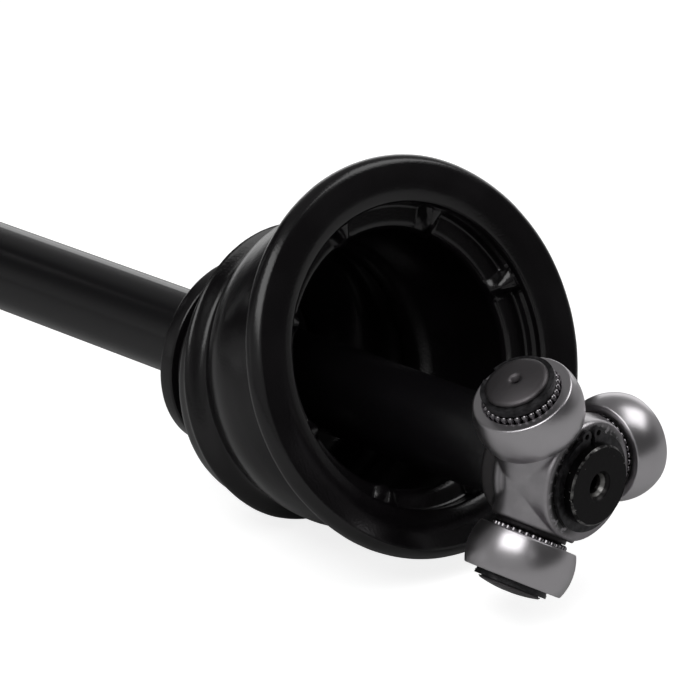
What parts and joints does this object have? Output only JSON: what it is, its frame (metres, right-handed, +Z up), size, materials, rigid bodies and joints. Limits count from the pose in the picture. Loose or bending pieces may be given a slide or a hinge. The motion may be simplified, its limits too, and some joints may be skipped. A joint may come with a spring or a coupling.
{
  "type": "drive shaft",
  "caption": "Front half shaft: tubular shaft with a tripod roller joint, a flanged rubber boot on its own bearing, and a bellows-covered ball joint with a splined stub.",
  "frame": {"origin": "centre of the tripod spider, where the three roller axes cross the shaft axis", "axes": "+X along the shaft towards the inboard (gearbox) end, +Z up, +Y completes the right hand"},
  "size_m": [0.6012, 0.1479, 0.1467],
  "materials": {
    "black_paint": "semi-gloss black paint",
    "machined_steel": "forged and turned, satin",
    "ground_steel": "ground and lapped",
    "bearing_steel": "polished",
    "spring_steel": "black oxide",
    "pressed_steel": "hardened, satin",
    "forged_bell": "forged, phosphated",
    "boot_rubber": "satin moulded rubber",
    "seal_rubber": "matte",
    "bellows_plastic": "satin thermoplastic",
    "clamp_steel": "stainless strip"
  },
  "bodies": {
    "shaft": {"axle_shaft": "black_paint", "tripod_spider": "machined_steel", "spider_circlip": "spring_steel", "needle_washer_1": "spring_steel", "needle_washer_2": "spring_steel", "needle_washer_3": "spring_steel", "trunnion_snap_ring_1": "spring_steel", "trunnion_snap_ring_2": "spring_steel", "trunnion_snap_ring_3": "spring_steel", "boot_bearing_inner_ring": "bearing_steel", "inner_race": "machined_steel", "inner_race_circlip": "spring_steel", "outboard_clamp_small": "clamp_steel", "drive_ball_1": "bearing_steel", "drive_ball_4": "bearing_steel"},
    "boot": {"inboard_boot": "boot_rubber", "boot_bearing_outer_ring": "bearing_steel", "boot_bearing_seal_front": "seal_rubber", "boot_bearing_seal_rear": "seal_rubber"},
    "bearing_cage": {"boot_bearing_balls": "bearing_steel", "boot_bearing_cage": "pressed_steel"},
    "bell": {"outer_race_bell": "forged_bell", "outboard_boot": "bellows_plastic", "outboard_clamp_large": "clamp_steel"},
    "cage": {"ball_cage": "pressed_steel"},
    "track_ball_2": {"drive_ball_2": "bearing_steel"},
    "track_ball_3": {"drive_ball_3": "bearing_steel"},
    "track_ball_5": {"drive_ball_5": "bearing_steel"},
    "track_ball_6": {"drive_ball_6": "bearing_steel"},
    "needle_row_1": {"needles_1": "bearing_steel"},
    "roller_1": {"roller_1": "ground_steel"},
    "needle_row_2": {"needles_2": "bearing_steel"},
    "roller_2": {"roller_2": "ground_steel"},
    "needle_row_3": {"needles_3": "bearing_steel"},
    "roller_3": {"roller_3": "ground_steel"}
  },
  "joints": [
    {"name": "boot_spin", "type": "hinge", "parent": "shaft", "child": "boot", "pos_m": [-0.159, 0, 0], "axis": [1, 0, 0], "continuous": true},
    {"name": "bearing_cage_spin", "type": "hinge", "parent": "shaft", "child": "bearing_cage", "pos_m": [-0.159, 0, 0], "axis": [1, 0, 0], "continuous": true},
    {"name": "outboard_bend", "type": "hinge", "parent": "shaft", "child": "bell", "pos_m": [-0.48, 0, 0], "axis": [0, 1, 0], "range_deg": [-40, 40], "deforming": ["outboard_boot"]},
    {"name": "cage_tilt", "type": "hinge", "parent": "shaft", "child": "cage", "pos_m": [-0.48, 0, 0], "axis": [0, 1, 0], "range_deg": [-20, 20]},
    {"name": "ball_2_roll", "type": "hinge", "parent": "shaft", "child": "track_ball_2", "pos_m": [-0.48, 0, 0], "axis": [0, 0.866, -0.5], "range_deg": [-17.33, 17.33]},
    {"name": "ball_3_roll", "type": "hinge", "parent": "shaft", "child": "track_ball_3", "pos_m": [-0.48, 0, 0], "axis": [0, 0.866, 0.5], "range_deg": [-17.33, 17.33]},
    {"name": "ball_5_roll", "type": "hinge", "parent": "shaft", "child": "track_ball_5", "pos_m": [-0.48, 0, 0], "axis": [0, 0.866, -0.5], "range_deg": [-17.33, 17.33]},
    {"name": "ball_6_roll", "type": "hinge", "parent": "shaft", "child": "track_ball_6", "pos_m": [-0.48, 0, 0], "axis": [0, 0.866, 0.5], "range_deg": [-17.33, 17.33]},
    {"name": "roller_1_spin", "type": "hinge", "parent": "shaft", "child": "needle_row_1", "pos_m": [0, 0, 0], "axis": [0, -0.4787, 0.878], "continuous": true},
    {"name": "roller_1_slide", "type": "slide", "parent": "needle_row_1", "child": "roller_1", "axis": [0, -0.4787, 0.878], "range_m": [0, 0.0032]},
    {"name": "roller_2_spin", "type": "hinge", "parent": "shaft", "child": "needle_row_2", "pos_m": [0, 0, 0], "axis": [0, 0.9997, -0.0244], "continuous": true},
    {"name": "roller_2_slide", "type": "slide", "parent": "needle_row_2", "child": "roller_2", "axis": [0, 0.9997, -0.0244], "range_m": [-0.0015, 0.0017]},
    {"name": "roller_3_spin", "type": "hinge", "parent": "shaft", "child": "needle_row_3", "pos_m": [0, 0, 0], "axis": [0, -0.521, -0.8536], "continuous": true},
    {"name": "roller_3_slide", "type": "slide", "parent": "needle_row_3", "child": "roller_3", "axis": [0, -0.521, -0.8536], "range_m": [-0.0032, 0]}
  ],
  "couplings": [
    {"joint": "bearing_cage_spin", "follows": "boot_spin", "ratio": 0.58144},
    {"joint": "cage_tilt", "follows": "outboard_bend", "ratio": 0.5},
    {"joint": "ball_2_roll", "follows": "outboard_bend", "ratio": 0.43301},
    {"joint": "ball_3_roll", "follows": "outboard_bend", "ratio": 0.43301},
    {"joint": "ball_5_roll", "follows": "outboard_bend", "ratio": 0.43301},
    {"joint": "ball_6_roll", "follows": "outboard_bend", "ratio": 0.43301}
  ]
}
